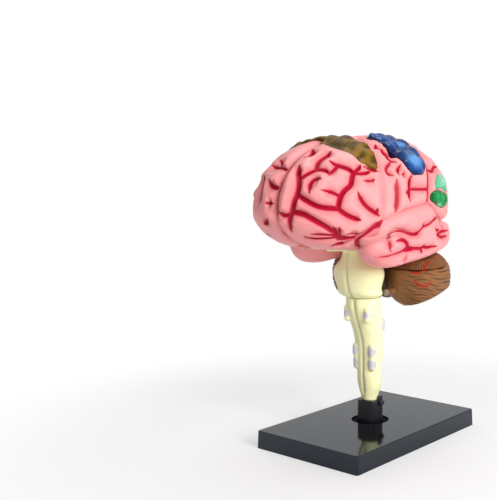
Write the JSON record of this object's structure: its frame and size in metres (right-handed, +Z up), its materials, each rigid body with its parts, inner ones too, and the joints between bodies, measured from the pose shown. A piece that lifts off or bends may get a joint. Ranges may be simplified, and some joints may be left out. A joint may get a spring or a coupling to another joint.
{
  "type": "brain anatomy model",
  "caption": "Take-apart teaching model of a human brain on a stem that plugs into a black base plate, with coloured areas and lobes that pull off sideways.",
  "frame": {"origin": "on the underside of the base plate, at its middle", "axes": "+Z up, -X towards the forehead end of the brain, -Y towards its left half"},
  "size_m": [0.1069, 0.0702, 0.1378],
  "materials": {
    "black_gloss": "glossy",
    "cream": "satin",
    "brown": "satin",
    "pink": "satin",
    "rose": "satin",
    "olive": "satin",
    "blue": "glossy, lightly see-through",
    "mint": "glossy, lightly see-through",
    "green": "glossy, lightly see-through",
    "maroon": "satin"
  },
  "bodies": {
    "stand": {"base_plate": "black_gloss", "stand_post": "black_gloss"},
    "stem": {"spinal_cord": "cream", "brain_stem": "cream", "limbic_ring_left": "rose", "basal_horn_left": "maroon", "insula_left": "rose", "limbic_ring_right": "rose", "basal_horn_right": "maroon", "insula_right": "rose"},
    "cerebellum": {"cerebellum_upper": "brown", "cerebellum_lower": "brown"},
    "frontal_left": {"frontal_lobe_left": "pink", "premotor_area_left": "olive"},
    "parietal_left": {"parietal_lobe_left": "pink", "motor_area_left": "blue"},
    "temporal_left": {"temporal_lobe_left": "pink"},
    "occipital_left": {"occipital_lobe_left": "pink", "visual_area_left": "mint", "speech_area_left": "green"},
    "frontal_right": {"frontal_lobe_right": "pink", "premotor_area_right": "olive"},
    "parietal_right": {"parietal_lobe_right": "pink", "motor_area_right": "blue"},
    "temporal_right": {"temporal_lobe_right": "pink"},
    "occipital_right": {"occipital_lobe_right": "pink", "visual_area_right": "mint", "speech_area_right": "green"}
  },
  "joints": [
    {"name": "stem_lift", "type": "slide", "parent": "stand", "child": "stem", "axis": [0, 0, 1], "range_m": [0, 0.012]},
    {"name": "cerebellum_pull", "type": "slide", "parent": "stem", "child": "cerebellum", "axis": [1, 0, 0], "range_m": [0, 0.012]},
    {"name": "frontal_left_pull", "type": "slide", "parent": "stem", "child": "frontal_left", "axis": [0, -1, 0], "range_m": [0, 0.03]},
    {"name": "parietal_left_pull", "type": "slide", "parent": "stem", "child": "parietal_left", "axis": [0, -1, 0], "range_m": [0, 0.03]},
    {"name": "temporal_left_pull", "type": "slide", "parent": "stem", "child": "temporal_left", "axis": [0, -1, 0], "range_m": [0, 0.03]},
    {"name": "occipital_left_pull", "type": "slide", "parent": "stem", "child": "occipital_left", "axis": [0, -1, 0], "range_m": [0, 0.03]},
    {"name": "frontal_right_pull", "type": "slide", "parent": "stem", "child": "frontal_right", "axis": [0, 1, 0], "range_m": [0, 0.03]},
    {"name": "parietal_right_pull", "type": "slide", "parent": "stem", "child": "parietal_right", "axis": [0, 1, 0], "range_m": [0, 0.03]},
    {"name": "temporal_right_pull", "type": "slide", "parent": "stem", "child": "temporal_right", "axis": [0, 1, 0], "range_m": [0, 0.03]},
    {"name": "occipital_right_pull", "type": "slide", "parent": "stem", "child": "occipital_right", "axis": [0, 1, 0], "range_m": [0, 0.03]}
  ]
}
